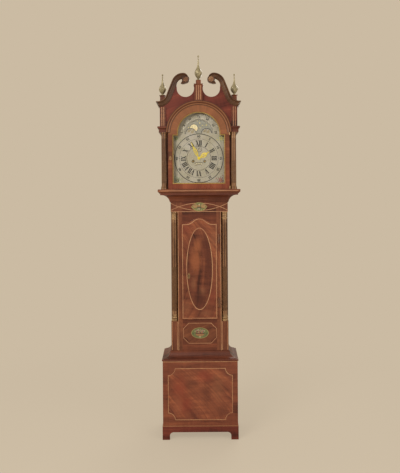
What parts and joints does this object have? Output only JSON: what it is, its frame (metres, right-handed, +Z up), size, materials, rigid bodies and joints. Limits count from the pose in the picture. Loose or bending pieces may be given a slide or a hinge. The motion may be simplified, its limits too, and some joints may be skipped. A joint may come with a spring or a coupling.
{
  "type": "longcase clock",
  "caption": "tall weight-driven floor clock in an inlaid mahogany case with a sliding hood, swan-neck pediment, arched dial and swinging pendulum",
  "frame": {"origin": "on the floor under the middle of the case's overall width and depth", "axes": "+X to the viewer's right, +Y to the wall, +Z up; the dial faces -Y"},
  "size_m": [0.538, 0.27, 2.44],
  "materials": {
    "mahogany": "polished",
    "figured_mahogany": "polished",
    "moulding": "polished",
    "backboard": "raw",
    "stringing": "polished",
    "patera": "polished",
    "brass": "aged",
    "hand_brass": "polished",
    "steel": "worn",
    "iron": "rough",
    "bell_metal": "cast",
    "dial_paint": "satin",
    "glass": "clear",
    "gut": "waxed"
  },
  "bodies": {
    "case": {"backboard": "backboard", "base_panels": "mahogany", "base_moulding": "moulding", "bracket_feet": "moulding", "waist_sides": "mahogany", "waist_stiles": "mahogany", "waist_rails": "mahogany", "quarter_columns": "mahogany", "quarter_column_brass": "brass", "case_inlay": "stringing", "paterae": "patera", "hood_seat_moulding": "moulding", "seatboard": "backboard", "waist_hinge_pins": "brass", "movement_frame": "brass", "dial": "dial_paint", "bell": "bell_metal", "going_line": "gut", "strike_line": "gut"},
    "waist_door": {"waist_door": "mahogany", "waist_door_inlay": "stringing", "waist_door_hinges": "brass", "waist_door_lock": "brass"},
    "hood": {"hood_carcass": "mahogany", "hood_base_frame": "moulding", "hood_tympanum": "figured_mahogany", "hood_arch_moulding": "moulding", "hood_entablature": "moulding", "swan_necks": "moulding", "rosettes": "moulding", "hood_plinths": "figured_mahogany", "finials": "brass", "hood_columns": "mahogany", "hood_brass": "brass", "hood_inlay": "stringing", "dial_mask": "mahogany"},
    "hood_door": {"hood_door": "mahogany", "hood_door_glass": "glass", "hood_door_fittings": "brass"},
    "minute": {"minute_hand": "hand_brass", "center_wheel": "brass"},
    "hour": {"hour_hand": "hand_brass", "hour_wheel": "brass"},
    "minute_wheel": {"minute_wheel": "brass"},
    "third": {"third_wheel": "brass"},
    "escape": {"escape_wheel": "brass", "seconds_hand": "steel"},
    "great_wheel": {"going_great_wheel": "brass"},
    "moon": {"moon_disc": "dial_paint"},
    "calendar": {"calendar_disc": "dial_paint"},
    "anchor": {"anchor": "steel"},
    "pendulum": {"pendulum_rod": "steel", "pendulum_bob": "brass"},
    "going_barrel": {"going_barrel": "brass"},
    "strike_barrel": {"strike_barrel": "brass"},
    "going_weight": {"going_weight": "iron"},
    "strike_weight": {"strike_weight": "iron"},
    "going_pulley": {"going_pulley": "brass"},
    "strike_pulley": {"strike_pulley": "brass"},
    "hammer": {"hammer": "steel"}
  },
  "joints": [
    {"name": "hood_slide", "type": "slide", "parent": "case", "child": "hood", "axis": [0, -1, 0], "range_m": [0, 0.3]},
    {"name": "hood_door_swing", "type": "hinge", "parent": "hood", "child": "hood_door", "pos_m": [0.196, -0.117, 1.7], "axis": [0, 0, 1], "range_deg": [0, 110]},
    {"name": "waist_door_swing", "type": "hinge", "parent": "case", "child": "waist_door", "pos_m": [0.1228, -0.0723, 1], "axis": [0, 0, 1], "range_deg": [0, 110]},
    {"name": "hand_turn", "type": "hinge", "parent": "case", "child": "minute", "pos_m": [0, -0.089, 1.786], "axis": [0, 1, 0], "continuous": true},
    {"name": "hour_turn", "type": "hinge", "parent": "case", "child": "hour", "pos_m": [0, -0.085, 1.786], "axis": [0, 1, 0], "continuous": true},
    {"name": "minute_wheel_turn", "type": "hinge", "parent": "case", "child": "minute_wheel", "pos_m": [0, -0.062, 1.7572], "axis": [0, 1, 0], "continuous": true},
    {"name": "great_wheel_turn", "type": "hinge", "parent": "case", "child": "great_wheel", "pos_m": [0.037, -0.044, 1.767], "axis": [0, 1, 0], "continuous": true},
    {"name": "third_wheel_turn", "type": "hinge", "parent": "case", "child": "third", "pos_m": [0.00627, -0.03, 1.81779], "axis": [0, 1, 0], "continuous": true},
    {"name": "escape_wheel_turn", "type": "hinge", "parent": "case", "child": "escape", "pos_m": [0, 0.002, 1.846], "axis": [0, 1, 0], "continuous": true},
    {"name": "moon_turn", "type": "hinge", "parent": "case", "child": "moon", "pos_m": [0, -0.076, 1.944], "axis": [0, 1, 0], "continuous": true},
    {"name": "calendar_turn", "type": "hinge", "parent": "case", "child": "calendar", "pos_m": [0, -0.076, 1.701], "axis": [0, 1, 0], "continuous": true},
    {"name": "pendulum_swing", "type": "hinge", "parent": "case", "child": "pendulum", "pos_m": [0, 0.04, 1.874], "axis": [0, 1, 0], "range_deg": [-2.5, 2.5]},
    {"name": "anchor_rock", "type": "hinge", "parent": "case", "child": "anchor", "pos_m": [0, 0, 1.874], "axis": [0, 1, 0], "range_deg": [-2.5, 2.5]},
    {"name": "going_weight_drop", "type": "slide", "parent": "case", "child": "going_weight", "axis": [0, 0, -1], "range_m": [0, 1.05], "deforming": ["going_line"]},
    {"name": "going_barrel_turn", "type": "hinge", "parent": "case", "child": "going_barrel", "pos_m": [0.037, -0.009, 1.767], "axis": [0, 1, 0], "range_deg": [-5400, 5400]},
    {"name": "going_pulley_turn", "type": "hinge", "parent": "going_weight", "child": "going_pulley", "pos_m": [0.037, -0.018, 1.5], "axis": [0, 1, 0], "range_deg": [-2700, 2700]},
    {"name": "strike_weight_drop", "type": "slide", "parent": "case", "child": "strike_weight", "axis": [0, 0, -1], "range_m": [0, 1.05], "deforming": ["strike_line"]},
    {"name": "strike_barrel_turn", "type": "hinge", "parent": "case", "child": "strike_barrel", "pos_m": [-0.037, -0.009, 1.767], "axis": [0, 1, 0], "range_deg": [-5400, 5400]},
    {"name": "strike_pulley_turn", "type": "hinge", "parent": "strike_weight", "child": "strike_pulley", "pos_m": [-0.037, -0.018, 1.5], "axis": [0, 1, 0], "range_deg": [-2700, 2700]},
    {"name": "hammer_lift", "type": "hinge", "parent": "case", "child": "hammer", "pos_m": [-0.044, -0.02, 1.85], "axis": [0, -1, 0], "range_deg": [0, 8]}
  ],
  "couplings": [
    {"joint": "hour_turn", "follows": "hand_turn", "ratio": 0.083333},
    {"joint": "minute_wheel_turn", "follows": "hand_turn", "ratio": -1},
    {"joint": "great_wheel_turn", "follows": "hand_turn", "ratio": -0.083333},
    {"joint": "third_wheel_turn", "follows": "hand_turn", "ratio": -8},
    {"joint": "escape_wheel_turn", "follows": "hand_turn", "ratio": 60},
    {"joint": "moon_turn", "follows": "hand_turn", "ratio": 0.00070621},
    {"joint": "calendar_turn", "follows": "hand_turn", "ratio": 0.0013441},
    {"joint": "anchor_rock", "follows": "pendulum_swing", "ratio": 1},
    {"joint": "going_barrel_turn", "follows": "going_weight_drop", "rad_per_m": -88.496},
    {"joint": "going_pulley_turn", "follows": "going_weight_drop", "rad_per_m": -44.248},
    {"joint": "strike_barrel_turn", "follows": "strike_weight_drop", "rad_per_m": -88.496},
    {"joint": "strike_pulley_turn", "follows": "strike_weight_drop", "rad_per_m": -44.248}
  ]
}
